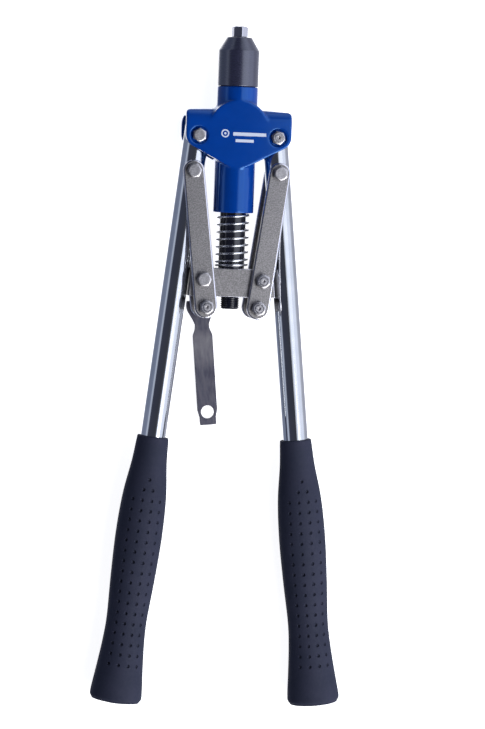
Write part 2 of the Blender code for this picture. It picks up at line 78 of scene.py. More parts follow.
def low(node):
    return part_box(node)[0] / MM


def high(node):
    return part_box(node)[1] / MM


def middle(node):
    return (low(node) + high(node)) / 2


def joint_at(name):
    return Vector(JOINTS[name]["pos_m"]) / MM


# Read from the frame
EAR = joint_at("handle_right_swing")
YOKE_PIN = joint_at("link_right_swing")
LOWER_PIN = joint_at("spanner_swing")
UPPER_PIN = middle("link_upper_bolt_right")
MID_Z = EAR.z
TUBE_MIDDLE = middle("handle_tube_right")
HANDLE_LEAN = math.atan2(TUBE_MIDDLE.x - EAR.x, EAR.y - TUBE_MIDDLE.y)
LINK_LEAN = math.atan2(UPPER_PIN.x - YOKE_PIN.x, UPPER_PIN.y - YOKE_PIN.y)
LINK_UP = (Vector(UPPER_PIN[:2]) - Vector(YOKE_PIN[:2])).length
LINK_DOWN = (Vector((-LOWER_PIN.x, LOWER_PIN.y)) - Vector(YOKE_PIN[:2])).length
CRANK = (Vector(UPPER_PIN[:2]) - Vector(EAR[:2])).length
CAST_FOOT = low("body_casting").y
SPIGOT_TOP = high("body_casting").y
PLATE_HALF = high("body_casting").z - MID_Z
WING_X = high("body_casting").x
SLEEVE_FOOT, SLEEVE_TOP = low("nose_sleeve").y, high("nose_sleeve").y
NOSE_TIP = high("nosepiece").y
YOKE_FOOT, YOKE_TOP = low("yoke").y, high("yoke").y
YOKE_HALF = high("yoke").z - MID_Z
ROD_FOOT, ROD_TOP = low("draw_rod").y, high("draw_rod").y
LINK_INNER = low("link_front_right").z - MID_Z
LINK_OUTER = high("link_front_right").z - MID_Z
SPANNER_LOW, SPANNER_HIGH = low("spanner").z - MID_Z, high("spanner").z - MID_Z

# Modelling
GAP = 0.3  # clearance between pieces that fit together
PAST = 5.0  # how far a cutter runs past what it cuts
HOLD = 0.3  # the hold that turned pieces are rounded with
STEPS = 96
SMALL_STEPS = 48
HOLE_STEPS = 32
ALONG_Y = (-math.pi / 2, 0, 0)  # turns a piece that was built up Z so that it runs towards the nose

# Head
BARREL_R = 15.5
SPIGOT_R = 12.5
BORE_R = 10.4
WING_TOP = 197.6
WING_END = 195.9
WING_ROUND = 10.0
WING_CORNER = 3.0
BACK_CORNER = 13.0  # round of a wing's upper corner behind its front plate
COLLAR_FILLET = 3.5
SKIRT_SLOPE = math.radians(27.6)
SKIRT_TIP = 152.3
ARCH_TOP = 204.0
ARCH_R = 23.7
LOBE = Vector((30.7, 176.9))  # middle of each ear's round lower corner
CLEVIS_R = 14.4
CLEVIS_HALF = 9.9
SPOT_R = 6.6  # spot faces under the pivot bolts and nuts
SPOT_Z = 13.4
CAST_VOXEL = 0.55
CAST_SMOOTHING = 10

# Handles
TUBE_R = 9.6
TUBE_WALL = 1.5
TUBE_ABOVE = 10.0  # length above the ear pivot
OPEN_PIVOT_R = 6.3  # oversize hole for the upper link bolt
GRIP_START = 231.8  # ear pivot to the grip's mouth
BUTT_R = 62.0  # radius of the grip's domed butt
BUTT_WALL = 14.0
GRIP_LENGTH = BUTT_R + (EAR.y - BUTT_R - CAD_BOX[0].y / MM) / math.cos(HANDLE_LEAN) - GRIP_START
DIMPLE_R = 1.5
DIMPLE_FIRST = {"left": 32.4, "right": 31.2}  # mouth to the first dimple
DIMPLE_STEP = 7.95
DIMPLE_ROWS = 19

# Fasteners
BOLT_R = 3.0
HOLE_R = BOLT_R + GAP
FLATS = 10.0
PIVOT_FLATS = 9.3
HEAD_H = 4.0
NUT_H = 5.0
BOLT_END = 0.7  # what stands out of a nut

# Draw rod and links
POCKET_FLOOR = ROD_TOP - 19.0  # the jaw spring stands on it
LINK_TOP_R = 8.1
LINK_FOOT_R = 8.75
SPACER_R = 5.0

# Spanner, from the bolt that it grips
SPANNER_LEAN = LINK_LEAN - math.radians(1.4)
SPANNER_END = -92.4
SPANNER_HOLE = -82.4
SPANNER_HOLE_R = 5.05


# ---------------------------------------------------------------- outlines

def arc(x, y, radius, start, end, steps):
    """Points on an arc, both ends included. Angles are in degrees from +X."""
    points = []
    for i in range(steps + 1):
        angle = math.radians(start + (end - start) * i / steps)
        points.append((x + radius * math.cos(angle), y + radius * math.sin(angle)))
    return points


def rounded(corners, steps=5, closed=True, hold=0.0):
    """Points of an outline through corners (x, y, radius), each rounded to its radius.

    With a hold, each round also has a point that far before and after it, which keeps long faces flat.
    """
    points = []
    count = len(corners)
    for i, (x, y, radius) in enumerate(corners):
        end = not closed and i in (0, count - 1)
        if radius <= 0 or end:
            points.append((x, y))
            continue
        here = Vector((x, y))
        back = (Vector(corners[i - 1][:2]) - here).normalized()
        ahead = (Vector(corners[(i + 1) % count][:2]) - here).normalized()
        half = back.angle(ahead) / 2
        centre = here + (back + ahead).normalized() * (radius / math.sin(half))
        start = here + back * (radius / math.tan(half)) - centre
        sweep = math.pi - 2 * half
        if back.x * ahead.y - back.y * ahead.x > 0:
            sweep = -sweep
        if hold:
            points.append(tuple(centre + start + back * hold))
        for k in range(steps + 1):
            turn = sweep * k / steps
            points.append((centre.x + start.x * math.cos(turn) - start.y * math.sin(turn),
                           centre.y + start.x * math.sin(turn) + start.y * math.cos(turn)))
        if hold:
            points.append((points[-1][0] + ahead.x * hold, points[-1][1] + ahead.y * hold))
    return points


def smooth_curve(points, steps):
    """A Catmull-Rom curve through points, with some steps between each two."""
    made = []
    padded = [points[0]] + list(points) + [points[-1]]
    for a, b, c, d in zip(padded, padded[1:], padded[2:], padded[3:]):
        for i in range(steps):
            t = i / steps
            point = []
            for p, q, r, s in zip(a, b, c, d):
                square, cube = 2 * p - 5 * q + 4 * r - s, 3 * q - p - 3 * r + s
                point.append(0.5 * (2 * q + (r - p) * t + square * t * t + cube * t ** 3))
            made.append(tuple(point))
    return made + [points[-1]]


def mirror(right):
    """The left-hand half of an outline, from its right-hand half, so that the two follow on."""
    return [(-x, y) for x, y in reversed(right)]


def ring(x, y, radius, steps):
    """A whole circle as a closed outline."""
    return arc(x, y, radius, 0, 360, steps)[:-1]


# ---------------------------------------------------------------- meshes

def hexagon(flats, angle):
    """Distance from a hexagon's middle to its edge. At angle 0 it has a corner."""
    sixth = math.pi / 3
    return flats / 2 / math.cos((angle % sixth) - sixth / 2)


def stack(levels, steps=STEPS, loop=False):
    """A solid through rings (radius, height) around Z. A radius is a number, or a function of the angle."""
    bm = bmesh.new()
    rings = []
    for size, height in levels:
        if size == 0:
            rings.append([bm.verts.new((0, 0, height * MM))] * steps)
            continue
        level = []
        for i in range(steps):
            angle = 2 * math.pi * i / steps
            radius = size(angle) if callable(size) else size
            corner = Vector((radius * math.cos(angle), radius * math.sin(angle), height))
            level.append(bm.verts.new(corner * MM))
        rings.append(level)
    pairs = list(zip(rings, rings[1:]))
    if loop:
        pairs.append((rings[-1], rings[0]))
    for under, over in pairs:
        for i in range(steps):
            j = (i + 1) % steps
            corners = list(dict.fromkeys((under[i], under[j], over[j], over[i])))
            if len(corners) > 2:
                bm.faces.new(corners)
    if not loop:
        for level in (rings[0], rings[-1]):
            if len(set(level)) > 1:
                bm.faces.new(level)
    bmesh.ops.recalc_face_normals(bm, faces=bm.faces)
    return bm


def prism(outline, floor, roof):
    """An outline in XY extruded from floor to roof along Z."""
    bm = bmesh.new()
    rings = [[bm.verts.new(Vector((x, y, z)) * MM) for x, y in outline] for z in (floor, roof)]
    count = len(outline)
    for i in range(count):
        j = (i + 1) % count
        bm.faces.new((rings[0][i], rings[0][j], rings[1][j], rings[1][i]))
    bm.faces.new(rings[0])
    bm.faces.new(rings[1])
    bmesh.ops.recalc_face_normals(bm, faces=bm.faces)
    return bm


def raw_object(name, bm, at=(0, 0, 0), turn=(0, 0, 0)):
    mesh = bpy.data.meshes.new(name)
    bm.to_mesh(mesh)
    bm.free()
    made = bpy.data.objects.new(name, mesh)
    bpy.context.scene.collection.objects.link(made)
    made.location = Vector(at) * MM
    made.rotation_euler = turn
    return made


def on_axis(name, levels, steps=STEPS, loop=False):
    """A turned piece on the draw rod's axis, from rings of (radius, Y)."""
    return raw_object(name, stack(levels, steps, loop), (0, 0, MID_Z), ALONG_Y)


def settle(obj):
    """Applies an object's modifiers, or turns a curve into a mesh, and returns the object that is left."""
    bpy.context.view_layer.update()
    graph = bpy.context.evaluated_depsgraph_get()
    mesh = bpy.data.meshes.new_from_object(obj.evaluated_get(graph))
    name, matrix = obj.name, obj.matrix_world.copy()
    bpy.data.objects.remove(obj)
    mesh.name = name
    made = bpy.data.objects.new(name, mesh)
    bpy.context.scene.collection.objects.link(made)
    made.matrix_world = matrix
    return made


def boolean(target, tool, operation="DIFFERENCE"):
    """Cuts, joins or intersects at once, and removes the tool."""
    modifier = target.modifiers.new(tool.name, "BOOLEAN")
    modifier.operation = operation
    modifier.solver = "EXACT"
    modifier.object = tool
    made = settle(target)
    bpy.data.objects.remove(tool)
    return made


def plate(name, loops, floor, roof, edge, at=(0, 0, 0), turn=(0, 0, 0)):
    """A flat plate with rounded edges. The first loop is its outline and the others are its holes."""
    curve = bpy.data.curves.new(name, "CURVE")
    curve.dimensions = "2D"
    curve.fill_mode = "BOTH"
    curve.extrude = ((roof - floor) / 2 - edge) * MM
    curve.bevel_depth = edge * MM
    curve.bevel_resolution = 3
    curve.offset = -edge * MM
    for loop in loops:
        spline = curve.splines.new("POLY")
        spline.points.add(len(loop) - 1)
        spline.use_cyclic_u = True
        for point, (x, y) in zip(spline.points, loop):
            point.co = (x * MM, y * MM, 0, 1)
    made = bpy.data.objects.new(name, curve)
    bpy.context.scene.collection.objects.link(made)
    made.data.transform(Matrix.Translation((0, 0, (floor + roof) / 2 * MM)))
    made.location = Vector(at) * MM
    made.rotation_euler = turn
    return settle(made)


def wire(name, radius, thick, height_at, turns, phase, steps=48, sides=12):
    """A right-handed coil of round wire on the draw rod's axis. height_at gives its Y after some turns."""
    bm = bmesh.new()
    count = round(turns * steps)
    rings = []
    for i in range(count + 1):
        turn = turns * i / count
        angle = -2 * math.pi * (turn - phase)
        out = Vector((math.cos(angle), math.sin(angle), 0))
        centre = out * radius + Vector((0, 0, height_at(turn)))
        section = []
        for k in range(sides):
            around = 2 * math.pi * k / sides
            offset = out * math.cos(around) + Vector((0, 0, math.sin(around)))
            section.append(bm.verts.new((centre + offset * thick) * MM))
        rings.append(section)
    for first, second in zip(rings, rings[1:]):
        for k in range(sides):
            m = (k + 1) % sides
            bm.faces.new((first[k], second[k], second[m], first[m]))
    for section in (rings[0], rings[-1]):
        bm.faces.new(section)
    bmesh.ops.recalc_face_normals(bm, faces=bm.faces)
    return raw_object(name, bm, (0, 0, MID_Z), ALONG_Y)


# ---------------------------------------------------------------- finishes

class Finish:
    """A Principled material and the nodes that drive it.

    The plain colour and roughness stay on their sockets, for whatever doesn't read the nodes.
    """

    def __init__(self, name, colour, roughness, metallic=0.0, **inputs):
        self.material = bpy.data.materials.new(name)
        self.material.use_nodes = True
        self.tree = self.material.node_tree
        self.shader = self.tree.nodes["Principled BSDF"]
        self.shader.inputs["Base Color"].default_value = (*colour, 1)
        self.shader.inputs["Roughness"].default_value = roughness
        self.shader.inputs["Metallic"].default_value = metallic
        for socket, value in inputs.items():
            self.shader.inputs[socket.replace("_", " ")].default_value = value
        self.where = self.tree.nodes.new("ShaderNodeTexCoord").outputs["Object"]

    def noise(self, per_mm, detail=2.0, stretch=(1, 1, 1)):
        """A noise whose grains are about 1 / per_mm millimetres across."""
        mapping = self.tree.nodes.new("ShaderNodeMapping")
        mapping.inputs["Scale"].default_value = [per_mm / MM * s for s in stretch]
        self.tree.links.new(self.where, mapping.inputs["Vector"])
        noise = self.tree.nodes.new("ShaderNodeTexNoise")
        noise.inputs["Scale"].default_value = 1.0
        noise.inputs["Detail"].default_value = detail
        self.tree.links.new(mapping.outputs["Vector"], noise.inputs["Vector"])
        return noise.outputs["Fac"]

    def along(self, axis):
        """The place along one of the piece's own axes, in metres."""
        split = self.tree.nodes.new("ShaderNodeSeparateXYZ")
        self.tree.links.new(self.where, split.inputs["Vector"])
        return split.outputs[axis]

    def spread(self, source, first, last, start=0.3, end=0.7):
        """Maps start..end of a source to first..last."""
        node = self.tree.nodes.new("ShaderNodeMapRange")
        for socket, value in zip(("From Min", "From Max", "To Min", "To Max"), (start, end, first, last)):
            node.inputs[socket].default_value = value
        self.tree.links.new(source, node.inputs["Value"])
        return node.outputs["Result"]

    def sum_of(self, first, second):
        node = self.tree.nodes.new("ShaderNodeMath")
        for source, socket in zip((first, second), node.inputs):
            self.tree.links.new(source, socket)
        return node.outputs["Value"]

    def colour(self, factor, first, second):
        """The base colour, between two colours by a factor."""
        mix = self.tree.nodes.new("ShaderNodeMix")
        mix.data_type = "RGBA"
        mix.inputs["A"].default_value = (*first, 1)
        mix.inputs["B"].default_value = (*second, 1)
        self.tree.links.new(factor, mix.inputs["Factor"])
        self.tree.links.new(mix.outputs["Result"], self.shader.inputs["Base Color"])

    def roughness(self, source, first, last):
        self.tree.links.new(self.spread(source, first, last), self.shader.inputs["Roughness"])

    def bump(self, source, depth_mm, strength):
        """Bumps of a height in millimetres."""
        node = self.tree.nodes.new("ShaderNodeBump")
        node.inputs["Strength"].default_value = strength
        node.inputs["Distance"].default_value = depth_mm * MM
        self.tree.links.new(source, node.inputs["Height"])
        self.tree.links.new(node.outputs["Normal"], self.shader.inputs["Normal"])


def cast_blue():
    finish = Finish("cast_blue", (0.0, 0.042, 0.29), 0.16, Specular_IOR_Level=1.0,
                    Specular_Tint=(0.26, 0.58, 1.0, 1))
    finish.colour(finish.spread(finish.noise(0.08), 0, 1), (0.0, 0.04, 0.275), (0.0, 0.044, 0.305))
    finish.roughness(finish.noise(0.3, 4), 0.11, 0.16)
    finish.bump(finish.noise(0.2, 1), 0.02, 0.3)
    return finish.material


def black_steel():
    finish = Finish("black_steel", (0.019, 0.019, 0.044), 0.26, Coat_Weight=0.8, Coat_Roughness=0.22,
                    Specular_IOR_Level=1.0, Specular_Tint=(0.8, 0.84, 1.0, 1))
    finish.colour(finish.spread(finish.noise(0.2, 3), 0, 1), (0.017, 0.018, 0.04), (0.022, 0.022, 0.049))
    turned = finish.noise(1.0, 2, (0.05, 0.05, 3.0))
    finish.roughness(turned, 0.26, 0.3)
    finish.bump(turned, 0.001, 0.2)
    return finish.material


def polished_black():
    finish = Finish("polished_black", (0.008, 0.009, 0.018), 0.16, Coat_Weight=0.6, Coat_Roughness=0.06)
    scored = finish.noise(0.8, 3, (1.0, 1.0, 0.04))
    finish.roughness(scored, 0.12, 0.24)
    finish.bump(scored, 0.006, 0.4)
    return finish.material


def chrome_tube():
    finish = Finish("chrome_tube", (0.57, 0.585, 0.61), 0.07, 1.0)
    streaks = finish.noise(0.7, 3, (1.0, 1.0, 0.015))
    clouds = finish.spread(finish.noise(0.05, 2), 0, 1, 0.35, 0.65)
    finish.colour(clouds, (0.54, 0.56, 0.59), (0.6, 0.61, 0.635))
    finish.roughness(streaks, 0.05, 0.13)
    finish.bump(streaks, 0.0005, 0.3)
    return finish.material


def grip_rubber():
    finish = Finish("grip_rubber", (0.022, 0.0245, 0.048), 0.75, Specular_IOR_Level=0.2)
    finish.colour(finish.spread(finish.noise(0.06, 4), 0, 1), (0.02, 0.0235, 0.044), (0.027, 0.0295, 0.054))
    finish.roughness(finish.noise(0.5, 4), 0.68, 0.82)
    finish.bump(finish.noise(3.5, 2), 0.05, 0.35)
    return finish.material


def nickel():
    """Blasted and plated, so it is grained rather than shiny."""
    finish = Finish("nickel", (0.33, 0.32, 0.34), 0.5, 1.0)
    grain = finish.spread(finish.noise(1.1, 3), 0, 1, 0.35, 0.65)
    finish.colour(grain, (0.205, 0.197, 0.2), (0.36, 0.348, 0.352))
    finish.roughness(finish.noise(0.6, 4), 0.34, 0.46)
    finish.bump(finish.noise(2.2, 4), 0.08, 0.8)
    return finish.material


def zinc_wire():
    finish = Finish("zinc_wire", (0.72, 0.73, 0.76), 0.2, 1.0)
    finish.roughness(finish.noise(1.2, 3), 0.14, 0.3)
    finish.bump(finish.noise(2.5, 2), 0.01, 0.4)
    return finish.material


def bright_steel():
    finish = Finish("bright_steel", (0.5, 0.5, 0.52), 0.28, 1.0)
    ground = finish.noise(1.5, 3, (0.2, 0.2, 2.0))
    finish.roughness(ground, 0.2, 0.38)
    finish.bump(ground, 0.012, 0.6)
    return finish.material


def plated():
    finish = Finish("plated", (0.46, 0.45, 0.47), 0.36, 1.0)
    grain = finish.spread(finish.noise(0.9, 3), 0, 1, 0.35, 0.65)
    finish.colour(grain, (0.33, 0.32, 0.335), (0.52, 0.51, 0.53))
    finish.roughness(finish.noise(0.8, 4), 0.3, 0.44)
    finish.bump(finish.noise(1.3, 3), 0.07, 0.6)
    return finish.material


def polished_steel():
    finish = Finish("polished_steel", (0.62, 0.62, 0.68), 0.14, 1.0)
    finish.roughness(finish.noise(0.8, 4), 0.1, 0.22)
    finish.bump(finish.noise(1.2, 3), 0.01, 0.5)
    return finish.material


def gunmetal():
    """Oiled dark by hands, with a paler patch on the blade just below its neck."""
    finish = Finish("gunmetal", (0.1, 0.095, 0.125), 0.4, 0.9)
    streaks = finish.spread(finish.noise(0.35, 5, (1.0, 0.25, 1.0)), 0, 0.3, 0.35, 0.7)
    blade = finish.along("Y")
    patch = finish.sum_of(finish.spread(blade, 0, 0.45, -52 * MM, -32 * MM),
                          finish.spread(blade, 0, -0.4, -25 * MM, -18 * MM))
    finish.colour(finish.sum_of(streaks, patch), (0.068, 0.067, 0.095), (0.24, 0.232, 0.25))
    finish.roughness(finish.noise(0.5, 5), 0.36, 0.54)
    finish.bump(finish.noise(1.2, 5), 0.06, 0.6)
    return finish.material


def print_white():
    finish = Finish("print_white", (0.62, 0.67, 0.8), 0.45)
    finish.roughness(finish.noise(2.0, 2), 0.4, 0.55)
    return finish.material


MAKERS = (cast_blue, black_steel, polished_black, chrome_tube, grip_rubber, nickel, plated, zinc_wire,
          bright_steel, polished_steel, gunmetal, print_white)
FINISHES = {make.__name__: make() for make in MAKERS}
SLOT_OF = {part["node"]: part["material_slot"] for part in frame["record"]["subparts"]}


def dress(obj, node, finish=None, sharp=30):
    """Gives a finished piece its node's slot and body, and has it stand for the node."""
    slot = SLOT_OF[node]
    obj.data.materials.clear()
    obj.data.materials.append(FINISHES[finish or slot])
    obj.data.shade_smooth()
    if sharp:
        obj.data.set_sharp_from_angle(angle=math.radians(sharp))
    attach(obj, BODY_OF[node])
    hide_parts(node)


def painted_rim_highlights(obj):
    """Gives a plate's rounded edges a brighter, polished finish as a painted highlight, but not its flat faces and
    upright sides.
    """
    upright, flat = 0.1, 0.99
    obj.data.materials.append(FINISHES["polished_steel"])
    for face in obj.data.polygons:
        if upright < abs(face.normal.z) < flat:
            face.material_index = 1


# ---------------------------------------------------------------- head

def casting_outline():
    """The wings and the V-shaped skirt below them, seen from the front."""
    slope = math.degrees(SKIRT_SLOPE)
    lobe_r = WING_X - LOBE.x
    foot_x = LOBE.x + lobe_r * math.sin(SKIRT_SLOPE)
    foot_y = LOBE.y - lobe_r * math.cos(SKIRT_SLOPE)
    line_at_middle = foot_y - foot_x * math.tan(SKIRT_SLOPE)
    tip_r = (SKIRT_TIP - line_at_middle) * math.cos(SKIRT_SLOPE) / (1 - math.cos(SKIRT_SLOPE))
    right = arc(0, SKIRT_TIP + tip_r, tip_r, -90, -90 + slope, 12)[1:]
    right += arc(*LOBE, lobe_r, -90 + slope, 0, 20)
    right += arc(WING_X - WING_CORNER, WING_END - WING_CORNER, WING_CORNER, 0, 85, 8)
    return [(0, SKIRT_TIP)] + right + [(0, WING_TOP)] + mirror(right)


def wing_profile():
    """The wings seen from the end, as (depth, height along Y)."""
    flat = PLATE_HALF - WING_ROUND
    springing = WING_TOP - WING_ROUND
    foot = SKIRT_TIP - PAST
    return ([(-PLATE_HALF, foot), (PLATE_HALF, foot)]
            + arc(flat, springing, WING_ROUND, 0, 90, 24) + arc(-flat, springing, WING_ROUND, 90, 180, 24))


def clevis_outline(side):
    """The slot that a handle swings in, open outwards and below."""
    far = WING_X + PAST
    floor = SKIRT_TIP - PAST
    right = [(EAR.x - CLEVIS_R, floor), (far, floor), (far, EAR.y + CLEVIS_R)]
    right += arc(EAR.x, EAR.y, CLEVIS_R, 90, 180, 24)
    return [(side * x, y) for x, y in right]


def corner_outline(side):
    """What is cut from a wing's upper corner behind its front plate, which leaves a large round."""
    lift = 0.3  # how far the round's top stands above the wings
    x, y = WING_X - BACK_CORNER, WING_TOP + lift - BACK_CORNER
    far, top = WING_X + PAST, WING_TOP + PAST
    right = arc(x, y, BACK_CORNER, 0, 90, 24) + [(x, top), (far, top), (far, y)]
    return [(side * px, py) for px, py in right]


def make_collar():
    """The fillet between the barrel and the wings' tops, kept off the front and back faces."""
    sunk, reach, inset = 2.0, 9.0, 3.0
    inner, outer, top = BARREL_R - sunk, BARREL_R + COLLAR_FILLET, WING_TOP + COLLAR_FILLET
    levels = [(inner, WING_TOP - sunk), (outer, WING_TOP - sunk)]
    levels += arc(outer, top, COLLAR_FILLET, 270, 180, 8) + [(inner, top)]
    slab = [(-WING_X, WING_TOP - reach), (WING_X, WING_TOP - reach),
            (WING_X, WING_TOP + reach), (-WING_X, WING_TOP + reach)]
    depth = PLATE_HALF - inset
    kept = raw_object("slab", prism(slab, -depth, depth), (0, 0, MID_Z))
    return boolean(on_axis("collar", levels, loop=True), kept, "INTERSECT")


def make_casting():
    """The head: solids joined and cut, then remeshed and smoothed for their soft cast edges."""
    at = (0, 0, MID_Z)
    through = PLATE_HALF + PAST
    cast = raw_object("casting", prism(casting_outline(), -through, through), at)
    wings = prism(wing_profile(), -WING_X - PAST, WING_X + PAST)
    cast = boolean(cast, raw_object("wings", wings, at, (0, -math.pi / 2, 0)), "INTERSECT")

    spread = math.degrees(math.acos((EAR.y - ARCH_TOP + ARCH_R) / ARCH_R))
    arch_points = arc(0, ARCH_TOP - ARCH_R, ARCH_R, 90 - spread, 90 + spread, 40)
    cast = boolean(cast, raw_object("arch", prism(arch_points, -PLATE_HALF, PLATE_HALF), at), "UNION")

    top = SLEEVE_FOOT - GAP
    barrel = [(BARREL_R, CAST_FOOT), (BARREL_R, top), (SPIGOT_R, top), (SPIGOT_R, SPIGOT_TOP)]
    cast = boolean(cast, on_axis("barrel", barrel), "UNION")
    cast = boolean(cast, make_collar(), "UNION")
    cast = boolean(cast, on_axis("bore", [(BORE_R, CAST_FOOT - PAST), (BORE_R, SPIGOT_TOP + PAST)]))
    for side in (-1, 1):
        cast = boolean(cast, raw_object("clevis", prism(clevis_outline(side), -CLEVIS_HALF, CLEVIS_HALF), at))
        cast = boolean(cast, raw_object("corner", prism(corner_outline(side), -through, CLEVIS_HALF), at))
        pivot = (side * EAR.x, EAR.y, MID_Z)
        cast = boolean(cast, raw_object("hole", stack([(HOLE_R, -through), (HOLE_R, through)]), pivot))
        for face in (-1, 1):
            spot = stack([(SPOT_R, SPOT_Z * face), (SPOT_R, through * face)])
            cast = boolean(cast, raw_object("spot", spot, pivot))

    remesh = cast.modifiers.new("cast_skin", "REMESH")
    remesh.mode = "VOXEL"
    remesh.voxel_size = CAST_VOXEL * MM * 1
    smooth = cast.modifiers.new("cast_edges", "SMOOTH")
    smooth.factor = 0.5
    smooth.iterations = CAST_SMOOTHING
    cast = settle(cast)
    cast.name = "head_casting"
    dress(cast, "body_casting", sharp=0)


def make_sleeve():
    """The black sleeve that screws over the head's spigot: a cone above a straight barrel."""
    shoulder, ceiling, roof = SLEEVE_TOP - 10.1, NOSE_TIP - 15.0, SPIGOT_TOP + 2.0
    mouth, throat, waist, inner = 9.4, 4.9, BORE_R + GAP, SPIGOT_R + GAP
    profile = rounded([(BARREL_R, SLEEVE_FOOT, 0.5), (BARREL_R, shoulder, 1.6), (mouth, SLEEVE_TOP, 0.9),
                       (throat, SLEEVE_TOP, 0.4), (throat, ceiling, 0), (waist, ceiling - 3, 0),
                       (waist, roof, 0), (inner, roof, 0), (inner, SLEEVE_FOOT, 0.3)], hold=HOLD)
    sleeve = on_axis("sleeve_turned", profile, loop=True)
    dress(sleeve, "nose_sleeve", sharp=50)


def chamfered_hex(flats, floor, roof, chamfer, face_r, turned=0.0):
    """Rings up a hexagon whose corners are turned off at the top, down to a round face."""
    corner = flats / 2 / math.cos(math.pi / 6)
    steps = 6
    rings = [(lambda angle: hexagon(flats, angle - turned), floor)]
    for k in range(steps + 1):
        part = k / steps
        limit = corner + (face_r - corner) * part

        def edge(angle, limit=limit):
            return min(hexagon(flats, angle - turned), limit)

        rings.append((edge, roof - chamfer * (1 - part)))
    return rings


def make_nosepiece():
    """A short hexagon with a chamfered end, drilled for the rivet's mandrel, on a threaded stem."""
    flats, bore, stem_r = 11.0, 2.1, 4.6
    washer, washer_r, face_r = 0.3, flats / 2 - 0.2, flats / 2 - 0.4
    chamfer, countersink = 1.0, 0.5
    tightened = math.radians(-21.5)
    foot, seat = low("nosepiece").y, SLEEVE_TOP + GAP
    levels = [(stem_r, foot), (stem_r, seat), (washer_r, seat)]
    levels += chamfered_hex(flats, seat + washer, NOSE_TIP, chamfer, face_r, tightened)
    levels += [(bore + countersink, NOSE_TIP), (bore, NOSE_TIP - countersink), (bore, foot)]
    nose = on_axis("nosepiece_hex", levels, loop=True)
    dress(nose, "nosepiece", "polished_steel")


def make_return_spring():
    """Open coils under the head's barrel and one closed coil on the yoke."""
    radius, thick = 11.9, 0.85
    top, pitch, closed_pitch = CAST_FOOT - 1.0, 5.6, 2.3
    open_turns, turns, phase = 6.65, 7.95, 0.05

    def height(turn):
        closed = max(0.0, turn - open_turns)
        return top - min(turn, open_turns) * pitch - closed * closed_pitch

    spring = wire("return_coil", radius, thick, height, turns, phase)
    dress(spring, "return_spring", sharp=0)
    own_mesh(spring)


def make_print():
    """A generic printed mark in place of any name: a ring round a dot, a long bar and a shorter one below."""
    face, thin, edge, corner = MID_Z + PLATE_HALF, 0.05, 0.02, 0.4
    x, y, ring_r, hole_r, dot_r = -10.6, 178.4, 3.1, 2.1, 0.9
    shapes = {"print_ring": [ring(x, y, ring_r, 40), ring(x, y, hole_r, 40)],
              "print_dot": [ring(x, y, dot_r, 24)]}
    for name, left, right, foot, top in (("print_long_bar", -4.6, 20.8, 176.9, 179.5),
                                         ("print_short_bar", -2.6, 11.4, 172.1, 174.3)):
        shapes[name] = [rounded([(left, foot, corner), (right, foot, corner), (right, top, corner),
                                 (left, top, corner)])]
    for name, loops in shapes.items():
        mark = plate(name, loops, face - thin, face + thin, edge)
        mark.data.materials.append(FINISHES["print_white"])
        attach(mark, "head")


# ---------------------------------------------------------------- fasteners

def bolt_levels(length, flats):
    """A bolt from its shank's end up to the top of its head, with a centre hole in its end."""
    chamfer, washer, washer_r, face_r = 0.5, 0.25, flats / 2 - 0.3, flats / 2 - 0.7
    levels = [(0, -length + 2.2), (1.1, -length + 1.6), (1.25, -length), (BOLT_R - chamfer, -length),
              (BOLT_R, -length + chamfer), (BOLT_R, 0), (washer_r, 0), (washer_r, washer)]
    levels += chamfered_hex(flats, washer, HEAD_H, chamfer, face_r)
    return levels + [(face_r - 0.2, HEAD_H), (0, HEAD_H)]


def nut_levels(flats):
    """A lock nut from its seat up: a chamfered hexagon with a rounded collar on it."""
    hole, washer, washer_r = BOLT_R + 0.1, 0.2, flats / 2 - 0.3
    top, chamfer, face_r, collar = 3.7, 0.5, flats / 2 - 0.6, flats / 2 - 0.7
    levels = [(hole, 0), (washer_r, 0), (washer_r, washer)]
    levels += chamfered_hex(flats, washer, top, chamfer, face_r)
    levels += [(collar, top + 0.05), (collar, NUT_H - 0.6), (collar - 0.4, NUT_H - 0.15),
               (collar - 0.9, NUT_H), (hole + 0.7, NUT_H), (hole, NUT_H - 0.8)]
    return levels


def make_fastener(label, side, spin):
    """A bolt and its nut where the frame has them, with the bolt's head on the side away from the nut."""
    bolt, nut = f"{label}_bolt_{side}", f"{label}_nut_{side}"
    flats = PIVOT_FLATS if label == "pivot" else FLATS
    at = middle(bolt)
    nut_in_front = middle(nut).z > MID_Z
    seat = low(nut).z - MID_Z if nut_in_front else MID_Z - high(nut).z
    length = 2 * seat + NUT_H + BOLT_END
    turns = ((0, 0, spin), (math.pi, 0, spin))
    bolt_turn, nut_turn = (turns[1], turns[0]) if nut_in_front else turns
    up = -seat if nut_in_front else seat
    solid = stack(bolt_levels(length, flats), SMALL_STEPS)
    dress(raw_object(f"{bolt}_hex", solid, (at.x, at.y, MID_Z + up), bolt_turn), bolt, "plated")
    solid = stack(nut_levels(flats), SMALL_STEPS, loop=True)
    dress(raw_object(f"{nut}_lock", solid, (at.x, at.y, MID_Z - up), nut_turn), nut, "plated")


def make_fasteners():
    """Each has a spin of its own, as it was tightened. The parked spanner sets the lower left one."""
    flats_across = math.radians(30)
    spins = {("pivot", "left"): 0.52, ("pivot", "right"): 0.8, ("link_upper", "left"): 0.1,
             ("link_upper", "right"): 0.5, ("yoke", "left"): 0.05, ("yoke", "right"): 0.65,
             ("link_lower", "left"): SPANNER_LEAN + flats_across, ("link_lower", "right"): 0.25}
    for (label, side), spin in spins.items():
        make_fastener(label, side, spin)


# ---------------------------------------------------------------- handles

